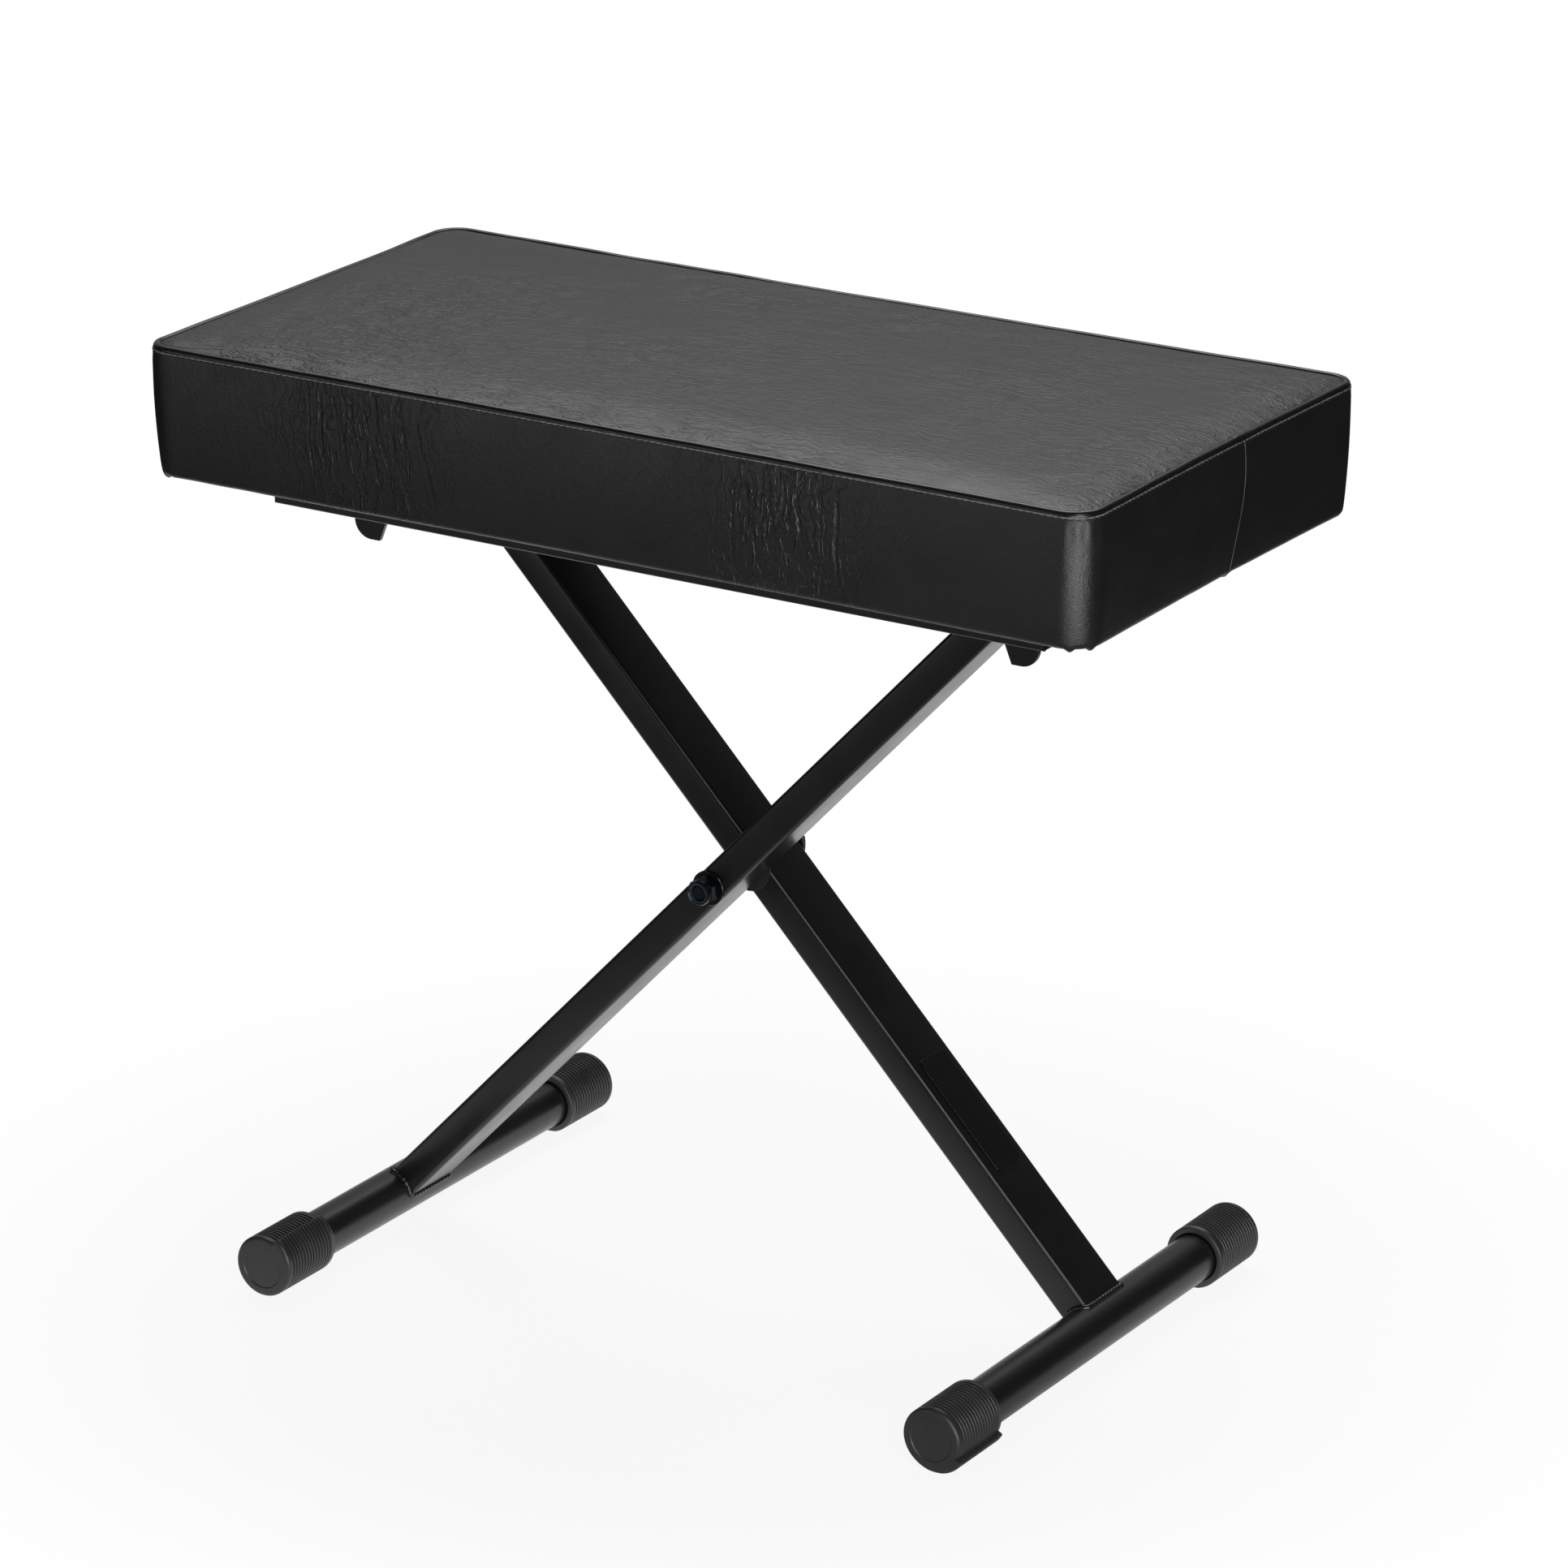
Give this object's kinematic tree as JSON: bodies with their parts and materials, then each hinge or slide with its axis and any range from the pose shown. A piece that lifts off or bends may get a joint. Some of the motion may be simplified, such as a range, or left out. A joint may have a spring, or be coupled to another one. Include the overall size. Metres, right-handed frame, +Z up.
{
  "type": "folding keyboard bench",
  "caption": "Padded rectangular seat on a folding scissor of two flat steel tube legs, with cross tubes for feet and turning levelling caps; the seat height is set in a notched rack.",
  "frame": {"origin": "on the floor below the middle of the seat", "axes": "+X along the seat towards the hinged end, -Y towards the leg that stands in front, +Z up"},
  "size_m": [0.616, 0.3412, 0.5625],
  "materials": {
    "frame_steel": "satin black powder coat",
    "fixings": "black zinc plated",
    "cover_vinyl": "grained black upholstery vinyl",
    "piping": "smooth black vinyl piping",
    "cap_rubber": "matt moulded",
    "nylon": "moulded",
    "label": "gloss film, blank",
    "plywood": "raw ply",
    "foam": "cut polyurethane foam",
    "dust_cloth": "black non-woven cloth"
  },
  "bodies": {
    "seat": {"seat_board": "plywood", "seat_foam": "foam", "cover_top_panel": "cover_vinyl", "cover_boxing": "cover_vinyl", "cover_piping": "piping", "dust_cover": "dust_cloth", "rail_front": "frame_steel", "rail_back": "frame_steel", "rail_end": "frame_steel", "side_plate_front": "frame_steel", "side_plate_back": "frame_steel", "rack_front": "frame_steel", "rack_back": "frame_steel", "hinge_bolt": "fixings", "hinge_washer_front": "fixings", "hinge_washer_back": "fixings", "hinge_nut": "fixings", "rail_screw_front_1": "fixings", "rail_screw_front_2": "fixings", "rail_screw_front_3": "fixings", "rail_screw_back_1": "fixings", "rail_screw_back_2": "fixings", "rail_screw_back_3": "fixings", "plate_screw_front_left": "fixings", "plate_screw_front_right": "fixings", "plate_screw_back_left": "fixings", "plate_screw_back_right": "fixings"},
    "leg_a": {"leg_a_tube": "frame_steel", "foot_tube_left": "frame_steel", "hinge_bar": "frame_steel", "hinge_bush_front": "nylon", "hinge_bush_back": "nylon", "pivot_bolt": "fixings", "pivot_washer_front": "fixings", "pivot_nut": "fixings"},
    "leg_b": {"leg_b_tube": "frame_steel", "foot_tube_right": "frame_steel", "rack_bar": "frame_steel", "rack_bar_plug_front": "nylon", "rack_bar_plug_back": "nylon", "pivot_washer_back": "fixings", "pivot_spacer": "nylon", "label_plate": "label"},
    "cap_front_left": {"levelling_cap_front_left": "cap_rubber"},
    "cap_back_left": {"levelling_cap_back_left": "cap_rubber"},
    "cap_front_right": {"levelling_cap_front_right": "cap_rubber"},
    "cap_back_right": {"levelling_cap_back_right": "cap_rubber"}
  },
  "joints": [
    {"name": "seat_hinge", "type": "hinge", "parent": "seat", "child": "leg_a", "pos_m": [0.1991, 0, 0.46558], "axis": [0, -1, 0], "range_deg": [-41.4, 0]},
    {"name": "leg_fold", "type": "hinge", "parent": "leg_a", "child": "leg_b", "pos_m": [0, 0, 0.2565], "axis": [0, -1, 0], "range_deg": [0, 82.8]},
    {"name": "cap_turn_front_left", "type": "hinge", "parent": "leg_a", "child": "cap_front_left", "pos_m": [-0.22712, 0, 0.018], "axis": [0, -1, 0], "continuous": true},
    {"name": "cap_turn_back_left", "type": "hinge", "parent": "leg_a", "child": "cap_back_left", "pos_m": [-0.22712, 0, 0.018], "axis": [0, -1, 0], "continuous": true},
    {"name": "cap_turn_front_right", "type": "hinge", "parent": "leg_b", "child": "cap_front_right", "pos_m": [0.22594, 0, 0.01924], "axis": [0, -1, 0], "continuous": true},
    {"name": "cap_turn_back_right", "type": "hinge", "parent": "leg_b", "child": "cap_back_right", "pos_m": [0.22594, 0, 0.01924], "axis": [0, -1, 0], "continuous": true}
  ],
  "couplings": [
    {"joint": "seat_hinge", "follows": "leg_fold", "ratio": -0.5}
  ]
}
